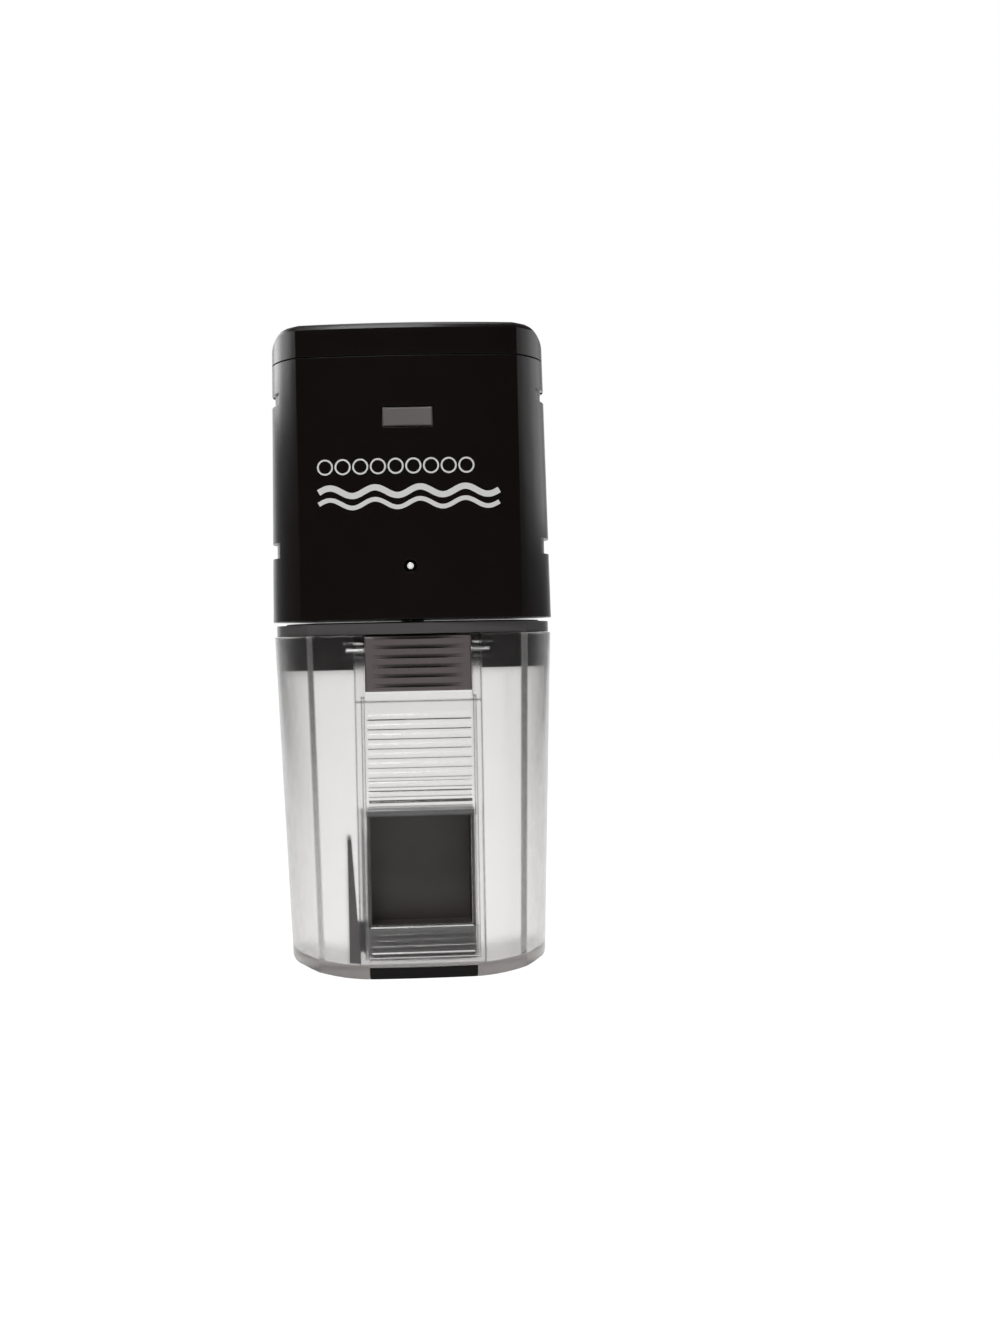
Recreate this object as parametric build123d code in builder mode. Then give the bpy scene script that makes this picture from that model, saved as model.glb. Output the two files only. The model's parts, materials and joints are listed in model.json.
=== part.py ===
"""Automatic fish feeder: a motor housing that turns a clear food drum below it.

The drum's axis is Z and the front faces -Y. The origin is on that axis, on the surface that the
feeder stands on. The drum is drawn square to the axes and turned by DRUM_TURN as it is written.
"""

import os
from math import cos, pi, radians, sin, sqrt

from build123d import *

# ---------------------------------------------------------------- driving dimensions, mm
HEIGHT = 160.0
DRUM_TURN = 3.3  # degrees that the drum rests turned from the housing

# Plan section: flat faces that bow out, joined by round sides
BOW = 3.0
HOUSING_FOOT_Z, LID_SEAM_Z = 87.8, 151.8
HOUSING_FOOT = dict(side=35.0, crease_x=27.0, crease_y=22.3)
HOUSING_TOP = dict(side=33.9, crease_x=27.0, crease_y=21.6)
HOUSING_WALL, HOUSING_FLOOR = 2.2, 2.4

DRUM_RIM_Z = 84.0
DRUM_BASE = dict(side=31.6, crease_x=25.4, crease_y=18.8)
DRUM_RIM = dict(side=34.7, crease_x=27.0, crease_y=22.2)
DRUM_WALL, DRUM_FLOOR = 2.0, 3.2
FLAT_HALF, BASE_ARC_R, BASE_CORNER = 12.0, 50.0, 2.6

# Lid
LID_SIDE_ROUND, LID_EDGE_ROUND = 6.5, 1.4
LID_GAP = 0.35
LIP_DEPTH, LIP_WALL, LIP_PLAY = 2.2, 1.2, 0.15
SCREW_COLUMN_X, SCREW_COLUMN_Y, SCREW_COLUMN_R = 24.2, 13.2, 3.2
SCREW_SEAT_Z = 140.0
SCREW_PILOT_R, SCREW_PASSAGE_R, LID_POST_R = 1.3, 2.3, 3.0
GASKET_DEPTH, GASKET_OUT, GASKET_IN = 0.6, 0.8, 1.5

# Front controls
BUTTON_Z, BUTTON_W, BUTTON_H = 137.0, 12.2, 4.75
BUTTON_SEAT, BUTTON_EDGE, BUTTON_FLANGE_T = 3.4, 0.35, 0.8
LED_Z, LED_R = 100.7, 1.5
BOARD_Y, BOARD_T = -17.6, 1.6
BOARD_W, BOARD_Z0, BOARD_Z1 = 42.0, 95.0, 147.0
BOARD_HOLE_X, BOARD_HOLE_INSET, BOARD_POST_R = 18.0, 3.0, 2.2
MODULE_X, MODULE_Z, MODULE_W, MODULE_H = 6.0, 122.0, 18.0, 25.0
SWITCH_W, SWITCH_T = 6.0, 1.8
SENSOR_X, SENSOR_T = -25.0, 1.2

# Side bracket grooves: height above the base, groove height, groove depth
BRACKET_GROOVES = ((143.0, 3.0, 0.8), (105.5, 3.8, 1.1))
BRACKET_BORE_R, BRACKET_BORE_DEPTH = 1.5, 5.0
BRACKET_GROOVE_HALF, BRACKET_BOSS_R, INSERT_WALL = 13.0, 3.4, 0.7

# Power inlet in the rear wall
INLET_Z, INLET_FLANGE_R, INLET_BARREL_R = 140.0, 6.2, 5.0
PLUG_BORE_R, PLUG_DEPTH, PIN_R = 2.85, 9.5, 1.0

# Gear train
MODULE = 0.6
WHEEL_TEETH, PINION_TEETH = 36, 12
CENTRES = MODULE * (WHEEL_TEETH + PINION_TEETH) / 2
TRAIN_ANGLE = 0.0
SHAFT_R, AXLE_R, MOTOR_SHAFT_R = 3.0, 1.5, 1.0
RUNNING = 0.05  # radial play of a turning fit
BUSH_R = 5.0
GEARBOX_WALL, GEARBOX_FLOOR, GEARBOX_EAR_R = 1.2, 2.0, 2.8
GEARBOX_TOP_Z, COVER_T = 102.0, 1.6
OUTPUT_GEAR_Z0, OUTPUT_GEAR_Z1 = 93.5, 97.3
SMALL_GEAR_Z0, LARGE_GEAR_Z0, LARGE_GEAR_Z1 = 93.1, 98.4, 100.9
MOTOR_R, MOTOR_TOP_Z, MOTOR_CAP_T = 12.0, 127.0, 2.0
MOTOR_BOSS_R, MOTOR_FLATS = 4.0, 20.0
TRAY_R, SHAFT_FOOT_Z = 12.9, 77.0

# Drum front: the channel follows the drafted front face
CHANNEL_HALF, CHANNEL_WALL = 13.25, 2.0
CHANNEL_DEPTH, CHANNEL_BACK = 3.4, 1.8
GROOVE_HALF, GROOVE_DEPTH0, GROOVE_DEPTH1 = 14.05, 1.65, 3.15
SLIDE_HALF, SLIDE_EDGE_HALF = 13.0, 13.8
SLIDE_DEPTH0, SLIDE_DEPTH1 = 1.8, 3.0
SLIDE_FACE, RIB_FACE = 1.3, 0.8
OUTLET_HALF, OUTLET_LOW, OUTLET_HIGH = 12.4, 12.6, 39.5
PORTION_LOW, PORTION_HIGH, PORTION_RIBS = 39.7, 68.0, 10
GRIP_LOW, GRIP_HIGH, GRIP_RIBS = 5.1, 12.4, 4
SCOOP_FACE, SCOOP_BACK, SCOOP_WALL, SCOOP_PLAY = 5.4, 15.0, 1.2, 0.35
SKIRT_LOW, FIN_X, FIN_HIGH = 5.0, -17.9, 34.0
CROSS_BAR_HIGH, FOOT_HIGH, FOOT_DEPTH = 4.6, 2.8, 5.0
RIB_PITCH, GRIP_RIB_PITCH = 2.35, 1.5
LATCH_LOW, LATCH_HIGH, LATCH_PIVOT = 70.2, 83.6, 80.3
LATCH_DEPTH0, LATCH_DEPTH1, LATCH_SEAT, LATCH_BACK = 0.8, 3.4, 4.6, 6.4
HOOK_HALF, HOOK_LOW, HOOK_HIGH, HOOK_DEPTH = 3.8, 75.8, 77.8, 7.9
PIVOT_DEPTH, PIVOT_R, PIN_HALF = 2.6, 0.6, 17.5
LENS_BITE, LENS_HALF, LENS_T, LENS_LOW, LENS_COUNT = 1.1, 11.3, 1.0, 1.45, 6
LUG_X0, LUG_X1, LUG_LOW, LUG_HIGH, LUG_DEPTH = 13.25, 18.4, 78.6, 82.0, 0.55

# Coupling that fills the drum's mouth
COUPLING_LOW, COUPLING_PLATE, COUPLING_HIGH = 75.6, 81.3, 83.8
COLLAR_LOW, COLLAR_HIGH, COLLAR_INSET, COLLAR_WALL = 84.2, 86.8, 0.5, 2.4
NECK_GAP, NECK_WALL, NECK_RISE = 0.05, 2.0, 0.4
HUB_LOW, HUB_R = 74.5, 7.0
MAGNET_X, MAGNET_R, MAGNET_T = -24.0, 2.5, 2.0

# ---------------------------------------------------------------- shared shapes


def blend(low, high, share):
    """Section a given share of the way from one section to another."""
    return {key: low[key] + (high[key] - low[key]) * share for key in low}


def housing_section(z):
    """The housing's section at a height."""
    return blend(HOUSING_FOOT, HOUSING_TOP, (z - HOUSING_FOOT_Z) / (HEIGHT - HOUSING_FOOT_Z))


def drum_section(z):
    """The food drum's section at a height."""
    return blend(DRUM_BASE, DRUM_RIM, z / DRUM_RIM_Z)


def outline(section, inset=0.0):
    """Plan outline of a section: bowed front and back between four creases, round sides."""
    x, y, side = section["crease_x"], section["crease_y"], section["side"]
    x, y, side = x - 0.8 * inset, y - inset, side - inset
    with BuildSketch() as plan:
        with BuildLine():
            for end in (-1, 1):
                ThreePointArc((-x, end * y), (0, end * (y + BOW)), (x, end * y))
                ThreePointArc((end * x, -y), (end * side, 0), (end * x, y))
        make_face()
    return plan.sketch


def tapered(section_at, z0, z1, inset=0.0):
    """Solid between two heights of a tapering section, every side moved in by inset."""
    with BuildPart() as block:
        for z in (z0, z1):
            with BuildSketch(Plane.XY.offset(z)):
                add(outline(section_at(z), inset))
        loft(ruled=True)
    return block.part


def gear_outline(teeth, phase):
    """Outline of a spur gear with one tooth centred at phase degrees."""
    pitch_r = MODULE * teeth / 2
    tip_r, root_r = pitch_r + 0.8 * MODULE, pitch_r - 1.15 * MODULE
    step = 2 * pi / teeth
    flanks = ((root_r, 0.30), (pitch_r, 0.20), (tip_r, 0.09))
    points = []
    for tooth in range(teeth):
        middle = radians(phase) + tooth * step
        corners = [(r, middle - share * step) for r, share in flanks]
        corners += [(r, middle + share * step) for r, share in reversed(flanks)]
        points += [(r * cos(a), r * sin(a)) for r, a in corners]
    with BuildSketch() as wheel:
        with BuildLine():
            Polyline(*points, close=True)
        make_face()
    return wheel.sketch


def cross_screws(places, seat, head_r, head_t, shank_r, shank, plane=Plane.XY):
    """Cross-recess pan-head screws seated at a height of a plane, shanks along its normal."""
    with BuildPart() as screws:
        with BuildSketch(plane.offset(seat - head_t)):
            with Locations(*places):
                Circle(head_r)
        extrude(amount=head_t)
        chamfer(screws.faces().group_by(SortBy.AREA)[-1].edges(), length=0.2 * head_t)
        with BuildSketch(plane.offset(seat)):
            with Locations(*places):
                Circle(shank_r)
        extrude(amount=shank)
        with BuildSketch(plane.offset(seat - head_t)):
            with Locations(*places):
                Rectangle(1.2 * head_r, 0.3 * head_r)
                Rectangle(0.3 * head_r, 1.2 * head_r)
        extrude(amount=0.5 * head_t, mode=Mode.SUBTRACT)
    return screws.part


TRAIN_X, TRAIN_Y = CENTRES * cos(radians(TRAIN_ANGLE)), CENTRES * sin(radians(TRAIN_ANGLE))
GEARBOX_EARS = ((-11.5, 9.5), (-11.5, -9.5), (13.1, 14.8))
FOUR_COLUMNS = [(sx * SCREW_COLUMN_X, sy * SCREW_COLUMN_Y) for sx in (-1, 1) for sy in (-1, 1)]
BOARD_HOLES = [
    (sx * BOARD_HOLE_X, z)
    for sx in (-1, 1)
    for z in (BOARD_Z0 + BOARD_HOLE_INSET, BOARD_Z1 - BOARD_HOLE_INSET)
]
# Planes that look along +Y: x stays x, the plane's second axis is Z
FRONT_VIEW = Plane(origin=(0, 0, 0), x_dir=(1, 0, 0), z_dir=(0, -1, 0))
BACK_VIEW = Plane(origin=(0, 0, 0), x_dir=(-1, 0, 0), z_dir=(0, 1, 0))
DOWN_VIEW = Plane(origin=(0, 0, 0), x_dir=(1, 0, 0), z_dir=(0, 0, -1))

# Where the front and back faces lie on the middle line
BUTTON_FACE_Y = -(housing_section(BUTTON_Z)["crease_y"] + BOW)
LED_FACE_Y = -(housing_section(LED_Z)["crease_y"] + BOW)
INLET_FACE_Y = housing_section(INLET_Z)["crease_y"] + BOW
INLET_SEAT_Y = INLET_FACE_Y - 1.2

# ---------------------------------------------------------------- controller housing

FLOOR_Z = HOUSING_FOOT_Z + HOUSING_FLOOR
COLUMN_TOP_Z = LID_SEAM_Z - LIP_DEPTH - 0.3

with BuildPart() as housing_shell:
    add(tapered(housing_section, HOUSING_FOOT_Z, LID_SEAM_Z))
    add(tapered(housing_section, FLOOR_Z, LID_SEAM_Z + 1, HOUSING_WALL), mode=Mode.SUBTRACT)
    # Screw columns from the floor to just under the lid's posts
    with BuildSketch(Plane.XY.offset(HOUSING_FOOT_Z)):
        with Locations(*FOUR_COLUMNS):
            Circle(SCREW_COLUMN_R)
    extrude(amount=COLUMN_TOP_Z - HOUSING_FOOT_Z)
    # Posts that carry the control board
    with BuildSketch(FRONT_VIEW.offset(-BOARD_Y)):
        with Locations(*BOARD_HOLES):
            Circle(BOARD_POST_R)
    extrude(amount=4.6)
    # Bosses behind the bracket grooves
    for z, groove_h, groove_depth in BRACKET_GROOVES:
        for turn in (0, 180):
            side_view = Plane.YZ.rotated((0, 0, turn))
            reach = housing_section(z)["side"]
            with BuildSketch(side_view.offset(reach - 7.3)):
                with Locations((0, z)):
                    Circle(BRACKET_BOSS_R)
            extrude(amount=5.8)
            with BuildSketch(Plane.XY.offset(z - groove_h / 2)):
                with Locations((50 * cos(radians(turn)), 0)):
                    Rectangle(100, 2 * BRACKET_GROOVE_HALF)
                Circle(reach - groove_depth, mode=Mode.SUBTRACT)
            extrude(amount=groove_h, mode=Mode.SUBTRACT)
            with BuildSketch(side_view.offset(reach - groove_depth - BRACKET_BORE_DEPTH)):
                with Locations((0, z)):
                    Circle(BRACKET_BORE_R + INSERT_WALL + RUNNING)
            extrude(amount=20, mode=Mode.SUBTRACT)
    # Screw passages: wide from below, narrow above the screw heads
    with BuildSketch(Plane.XY.offset(HOUSING_FOOT_Z)):
        with Locations(*FOUR_COLUMNS):
            Circle(SCREW_PASSAGE_R)
    extrude(amount=SCREW_SEAT_Z - HOUSING_FOOT_Z, mode=Mode.SUBTRACT)
    with BuildSketch(Plane.XY.offset(SCREW_SEAT_Z)):
        with Locations(*FOUR_COLUMNS):
            Circle(SCREW_PILOT_R)
    extrude(amount=HEIGHT - SCREW_SEAT_Z, mode=Mode.SUBTRACT)
    # Board pilot holes, button window and lamp hole
    with BuildSketch(FRONT_VIEW.offset(-BOARD_Y)):
        with Locations(*BOARD_HOLES):
            Circle(0.85)
    extrude(amount=3.6, mode=Mode.SUBTRACT)
    with BuildSketch(FRONT_VIEW.offset(-BOARD_Y)):
        with Locations((0, BUTTON_Z)):
            RectangleRounded(BUTTON_W + 0.5, BUTTON_H + 0.5, 0.4)
        with Locations((0, LED_Z)):
            Circle(LED_R + 0.1)
    extrude(amount=20, mode=Mode.SUBTRACT)
    # Seat and hole of the power inlet
    with BuildSketch(BACK_VIEW.offset(INLET_SEAT_Y)):
        with Locations((0, INLET_Z)):
            Circle(INLET_FLANGE_R + 0.4)
    extrude(amount=10, mode=Mode.SUBTRACT)
    with BuildSketch(BACK_VIEW.offset(15)):
        with Locations((0, INLET_Z)):
            Circle(INLET_BARREL_R + 0.1)
    extrude(amount=20, mode=Mode.SUBTRACT)
    # Bearing hole and the gearbox screws' pilot holes in the floor
    with BuildSketch(Plane.XY.offset(HOUSING_FOOT_Z - 1)):
        Circle(BUSH_R + 0.05)
    extrude(amount=5, mode=Mode.SUBTRACT)
    with BuildSketch(Plane.XY.offset(FLOOR_Z)):
        with Locations(*GEARBOX_EARS):
            Circle(1.15)
    extrude(amount=-1.8, mode=Mode.SUBTRACT)
    # Gasket groove round the rim
    with BuildSketch(Plane.XY.offset(LID_SEAM_Z - GASKET_DEPTH)):
        add(outline(housing_section(LID_SEAM_Z), GASKET_OUT))
        add(outline(housing_section(LID_SEAM_Z), GASKET_IN), mode=Mode.SUBTRACT)
    extrude(amount=2, mode=Mode.SUBTRACT)
housing_shell.part.label = "housing_shell"


def lid_block(z0, z1, inset, corner, edge=0.0):
    """Lid solid: sides rounded over in the front view, top edges of the flat faces by edge."""
    half = HOUSING_TOP["side"] - inset + 0.3
    quarter = [radians(a) for a in (0, 30, 60, 90)] if edge else [0]
    steps = [(z0, inset)] + [(z1 - edge * (1 - sin(a)), inset + edge * (1 - cos(a))) for a in quarter]
    with BuildPart() as block:
        for z, step_inset in steps:
            with BuildSketch(Plane.XY.offset(z)):
                add(outline(housing_section(z), step_inset))
        loft(ruled=True)
        with BuildSketch(FRONT_VIEW.offset(-50)):
            with BuildLine():
                Polyline((-half, z1 - corner), (-half, z0 - 1), (half, z0 - 1), (half, z1 - corner))
                RadiusArc((half, z1 - corner), (half - corner, z1), -corner)
                Line((half - corner, z1), (-half + corner, z1))
                RadiusArc((-half + corner, z1), (-half, z1 - corner), -corner)
            make_face()
        extrude(amount=100, mode=Mode.INTERSECT)
    return block.part


with BuildPart() as top_lid:
    add(lid_block(LID_SEAM_Z + LID_GAP, HEIGHT, 0, LID_SIDE_ROUND, LID_EDGE_ROUND))
    add(lid_block(LID_SEAM_Z - 1, HEIGHT - 2.4, HOUSING_WALL, LID_SIDE_ROUND - 1), mode=Mode.SUBTRACT)
    # Lip that centres the lid in the shell
    with BuildSketch(Plane.XY.offset(LID_SEAM_Z - LIP_DEPTH)):
        add(outline(housing_section(LID_SEAM_Z), HOUSING_WALL + LIP_PLAY))
        add(outline(housing_section(LID_SEAM_Z), HOUSING_WALL + LIP_PLAY + LIP_WALL), mode=Mode.SUBTRACT)
    extrude(amount=LIP_DEPTH + 1.2)
    with BuildSketch(Plane.XY.offset(LID_SEAM_Z + LID_GAP)):
        add(outline(housing_section(LID_SEAM_Z), HOUSING_WALL - 0.5))
        add(outline(housing_section(LID_SEAM_Z), HOUSING_WALL + LIP_PLAY + LIP_WALL), mode=Mode.SUBTRACT)
    extrude(amount=1.1)
    # Posts that take the lid screws
    with BuildSketch(Plane.XY.offset(LID_SEAM_Z - LIP_DEPTH)):
        with Locations(*FOUR_COLUMNS):
            Circle(LID_POST_R)
    extrude(amount=6.5)
    with BuildSketch(Plane.XY.offset(LID_SEAM_Z - LIP_DEPTH)):
        with Locations(*FOUR_COLUMNS):
            Circle(SCREW_PILOT_R)
    extrude(amount=5.5, mode=Mode.SUBTRACT)
top_lid.part.label = "top_lid"

with BuildPart() as lid_gasket:
    with BuildSketch(Plane.XY.offset(LID_SEAM_Z - GASKET_DEPTH)):
        add(outline(housing_section(LID_SEAM_Z), GASKET_OUT + RUNNING))
        add(outline(housing_section(LID_SEAM_Z), GASKET_IN - RUNNING), mode=Mode.SUBTRACT)
    extrude(amount=GASKET_DEPTH + LID_GAP)
lid_gasket.part.label = "lid_gasket"

with BuildPart() as lid_screws:
    add(cross_screws(FOUR_COLUMNS, SCREW_SEAT_Z, 2.1, 1.6, 1.2, 14.5))
lid_screws.part.label = "lid_screws"
# ---------------------------------------------------------------- controls and board

with BuildPart() as feed_button:
    # Key cap, the flange that keeps it in its window, and the stem towards the switch
    with BuildSketch(FRONT_VIEW.offset(-BUTTON_FACE_Y - BUTTON_SEAT)):
        with Locations((0, BUTTON_Z)):
            Rectangle(BUTTON_W, BUTTON_H)
    extrude(amount=BUTTON_SEAT - 0.2)
    chamfer(feed_button.faces().sort_by(Axis.Y)[0].edges(), length=BUTTON_EDGE)
    with BuildSketch(FRONT_VIEW.offset(-BUTTON_FACE_Y - BUTTON_SEAT)):
        with Locations((0, BUTTON_Z)):
            Rectangle(BUTTON_W + 2, BUTTON_H + 1.8)
    extrude(amount=BUTTON_FLANGE_T)
    with BuildSketch(FRONT_VIEW.offset(-BUTTON_FACE_Y - BUTTON_SEAT - 0.6)):
        with Locations((0, BUTTON_Z)):
            Circle(1.5)
    extrude(amount=0.7)
feed_button.part.label = "feed_button"

with BuildPart() as button_switch:
    with BuildSketch(FRONT_VIEW.offset(-BOARD_Y)):
        with Locations((0, BUTTON_Z)):
            Rectangle(SWITCH_W, SWITCH_W)
    extrude(amount=SWITCH_T)
    chamfer(button_switch.edges().filter_by(Axis.Y), length=0.5)
    with BuildSketch(FRONT_VIEW.offset(-BOARD_Y + SWITCH_T)):
        with Locations((0, BUTTON_Z)):
            Circle(1.4)
    extrude(amount=0.6)
button_switch.part.label = "button_switch"

with BuildPart() as control_board:
    with BuildSketch(FRONT_VIEW.offset(-BOARD_Y - BOARD_T)):
        with Locations((0, (BOARD_Z0 + BOARD_Z1) / 2)):
            RectangleRounded(BOARD_W, BOARD_Z1 - BOARD_Z0, 1.5)
        with Locations(*BOARD_HOLES):
            Circle(1.1, mode=Mode.SUBTRACT)
    extrude(amount=BOARD_T)
control_board.part.label = "control_board"

with BuildPart() as board_screws:
    add(cross_screws(BOARD_HOLES, -(BOARD_Y + BOARD_T), 1.9, 1.2, 0.8, 4.6, FRONT_VIEW))
board_screws.part.label = "board_screws"

with BuildPart() as wireless_module:
    with BuildSketch(BACK_VIEW.offset(BOARD_Y + BOARD_T)):
        with Locations((MODULE_X, MODULE_Z)):
            Rectangle(MODULE_W, MODULE_H)
    extrude(amount=0.8)
    with BuildSketch(BACK_VIEW.offset(BOARD_Y + BOARD_T + 0.8)):
        with Locations((MODULE_X, MODULE_Z - 2.5)):
            RectangleRounded(MODULE_W - 2, MODULE_H - 8, 0.6)
    extrude(amount=2.2)
wireless_module.part.label = "wireless_module"

with BuildPart() as status_led:
    with BuildSketch(FRONT_VIEW.offset(-BOARD_Y)):
        with Locations((0, LED_Z)):
            Circle(LED_R)
    extrude(amount=-LED_FACE_Y + BOARD_Y)
    fillet(status_led.edges().sort_by(Axis.Y)[0], radius=0.9 * LED_R)
    with BuildSketch(FRONT_VIEW.offset(-BOARD_Y)):
        with Locations((0, LED_Z)):
            Circle(LED_R + 0.4)
    extrude(amount=1.0)
status_led.part.label = "status_led"

with BuildPart() as position_sensor:
    with BuildSketch(Plane.XY.offset(FLOOR_Z)):
        with Locations((SENSOR_X, 0)):
            Rectangle(8, 12)
    extrude(amount=SENSOR_T)
    with BuildSketch(Plane.XY.offset(FLOOR_Z + SENSOR_T)):
        with Locations((SENSOR_X, 0)):
            Rectangle(3, 4)
        with Locations((SENSOR_X, 4.2)):
            Rectangle(6, 2.4)
    extrude(amount=1.6)
position_sensor.part.label = "position_sensor"

# ---------------------------------------------------------------- power inlet

with BuildPart() as dc_inlet:
    with BuildSketch(BACK_VIEW.offset(INLET_SEAT_Y)):
        with Locations((0, INLET_Z)):
            Circle(INLET_FLANGE_R)
    extrude(amount=1.0)
    chamfer(dc_inlet.faces().sort_by(Axis.Y)[-1].edges(), length=0.3)
    with BuildSketch(BACK_VIEW.offset(INLET_SEAT_Y - 10.5)):
        with Locations((0, INLET_Z)):
            Circle(INLET_BARREL_R)
    extrude(amount=10.5)
    with BuildSketch(BACK_VIEW.offset(INLET_SEAT_Y + 1.0 - PLUG_DEPTH)):
        with Locations((0, INLET_Z)):
            Circle(PLUG_BORE_R)
            Circle(PIN_R, mode=Mode.SUBTRACT)
    extrude(amount=PLUG_DEPTH, mode=Mode.SUBTRACT)
    # Solder tags
    with BuildSketch(BACK_VIEW.offset(INLET_SEAT_Y - 14)):
        with Locations((-2, INLET_Z), (2, INLET_Z)):
            Rectangle(1.8, 0.5)
    extrude(amount=4)
dc_inlet.part.label = "dc_inlet"

with BuildPart() as inlet_nut:
    with BuildSketch(BACK_VIEW.offset(INLET_SEAT_Y - 4.2)):
        with Locations((0, INLET_Z)):
            RegularPolygon(7.2, 6)
            Circle(INLET_BARREL_R + 0.04, mode=Mode.SUBTRACT)
    extrude(amount=2.4)
inlet_nut.part.label = "inlet_nut"

with BuildPart() as bracket_inserts:
    for z, groove_h, groove_depth in BRACKET_GROOVES:
        for turn in (0, 180):
            seat = housing_section(z)["side"] - groove_depth
            with BuildSketch(Plane.YZ.rotated((0, 0, turn)).offset(seat - BRACKET_BORE_DEPTH + 0.3)):
                with Locations((0, z)):
                    Circle(BRACKET_BORE_R + INSERT_WALL)
                    Circle(BRACKET_BORE_R, mode=Mode.SUBTRACT)
            extrude(amount=BRACKET_BORE_DEPTH - 0.5)
bracket_inserts.part.label = "bracket_inserts"

# ---------------------------------------------------------------- motor and gear train

with BuildPart() as gearbox_base:
    with BuildSketch(Plane.XY.offset(FLOOR_Z + 0.1)):
        for x, y in ((0, 0), (TRAIN_X, TRAIN_Y)):
            with Locations((x, y)):
                Circle(TRAY_R)
        make_hull()
        for x, y in GEARBOX_EARS:
            with Locations((x, y)):
                Circle(GEARBOX_EAR_R)
    extrude(amount=GEARBOX_TOP_Z - FLOOR_Z - 0.1)
    with BuildSketch(Plane.XY.offset(FLOOR_Z + 0.1 + GEARBOX_FLOOR)):
        for x, y in ((0, 0), (TRAIN_X, TRAIN_Y)):
            with Locations((x, y)):
                Circle(TRAY_R - GEARBOX_WALL)
        make_hull()
    extrude(amount=20, mode=Mode.SUBTRACT)
    with BuildSketch(Plane.XY.offset(FLOOR_Z)):
        with Locations(*GEARBOX_EARS):
            Circle(1.2)
        Circle(BUSH_R + 0.1)
    extrude(amount=20, mode=Mode.SUBTRACT)
    with BuildSketch(Plane.XY.offset(FLOOR_Z + 0.6)):
        with Locations((TRAIN_X, TRAIN_Y)):
            Circle(AXLE_R + 0.01)
    extrude(amount=20, mode=Mode.SUBTRACT)
gearbox_base.part.label = "gearbox_base"

with BuildPart() as gearbox_cover:
    with BuildSketch(Plane.XY.offset(GEARBOX_TOP_Z)):
        for x, y in ((0, 0), (TRAIN_X, TRAIN_Y)):
            with Locations((x, y)):
                Circle(TRAY_R)
        make_hull()
        for x, y in GEARBOX_EARS:
            with Locations((x, y)):
                Circle(GEARBOX_EAR_R)
        with Locations(*GEARBOX_EARS):
            Circle(1.2, mode=Mode.SUBTRACT)
        Circle(MOTOR_BOSS_R + RUNNING, mode=Mode.SUBTRACT)
        with Locations((TRAIN_X, TRAIN_Y)):
            Circle(AXLE_R + 0.01, mode=Mode.SUBTRACT)
    extrude(amount=COVER_T)
gearbox_cover.part.label = "gearbox_cover"

with BuildPart() as gearbox_screws:
    flipped = [(x, -y) for x, y in GEARBOX_EARS]
    add(cross_screws(flipped, -(GEARBOX_TOP_Z + COVER_T), 2.0, 1.3, 1.05, 14.8, DOWN_VIEW))
gearbox_screws.part.label = "gearbox_screws"

with BuildPart() as motor_can:
    with BuildSketch(Plane.XY.offset(GEARBOX_TOP_Z + COVER_T)):
        Circle(MOTOR_R)
        Rectangle(3 * MOTOR_R, MOTOR_FLATS, mode=Mode.INTERSECT)
    extrude(amount=MOTOR_TOP_Z - GEARBOX_TOP_Z - COVER_T)
    chamfer(motor_can.faces().sort_by(Axis.Z)[0].edges(), length=0.8)
    with BuildSketch(Plane.XY.offset(GEARBOX_TOP_Z + 0.4)):
        Circle(MOTOR_BOSS_R)
    extrude(amount=COVER_T - 0.4)
    with BuildSketch(Plane.XY.offset(GEARBOX_TOP_Z)):
        Circle(MOTOR_SHAFT_R + RUNNING)
    extrude(amount=12, mode=Mode.SUBTRACT)
motor_can.part.label = "motor_can"

with BuildPart() as motor_end_cap:
    with BuildSketch(Plane.XY.offset(MOTOR_TOP_Z)):
        Circle(MOTOR_R - 0.6)
        Rectangle(3 * MOTOR_R, MOTOR_FLATS - 1, mode=Mode.INTERSECT)
    extrude(amount=MOTOR_CAP_T)
    with BuildSketch(Plane.XY.offset(MOTOR_TOP_Z + MOTOR_CAP_T)):
        with Locations((-7, 0), (7, 0)):
            Rectangle(0.5, 3)
    extrude(amount=3.5)
motor_end_cap.part.label = "motor_end_cap"

with BuildPart() as motor_shaft:
    with BuildSketch(Plane.XY.offset(LARGE_GEAR_Z0 - 0.6)):
        Circle(MOTOR_SHAFT_R)
    extrude(amount=GEARBOX_TOP_Z + 11 - LARGE_GEAR_Z0)
motor_shaft.part.label = "motor_shaft"

with BuildPart() as motor_pinion:
    with BuildSketch(Plane.XY.offset(LARGE_GEAR_Z0 - 0.2)):
        add(gear_outline(PINION_TEETH, TRAIN_ANGLE + 180 / PINION_TEETH))
        Circle(MOTOR_SHAFT_R, mode=Mode.SUBTRACT)
    extrude(amount=LARGE_GEAR_Z1 - LARGE_GEAR_Z0 + 0.4)
motor_pinion.part.label = "motor_pinion"

with BuildPart() as compound_gear:
    with BuildSketch(Plane.XY.offset(SMALL_GEAR_Z0)):
        with Locations((TRAIN_X, TRAIN_Y)):
            add(gear_outline(PINION_TEETH, TRAIN_ANGLE + 180 + 180 / PINION_TEETH))
    extrude(amount=LARGE_GEAR_Z0 - SMALL_GEAR_Z0)
    with BuildSketch(Plane.XY.offset(LARGE_GEAR_Z0)):
        with Locations((TRAIN_X, TRAIN_Y)):
            add(gear_outline(WHEEL_TEETH, TRAIN_ANGLE + 180))
    extrude(amount=LARGE_GEAR_Z1 - LARGE_GEAR_Z0)
    with BuildSketch(Plane.XY.offset(SMALL_GEAR_Z0 - 1)):
        with Locations((TRAIN_X, TRAIN_Y)):
            Circle(AXLE_R + RUNNING)
    extrude(amount=20, mode=Mode.SUBTRACT)
compound_gear.part.label = "compound_gear"

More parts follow.
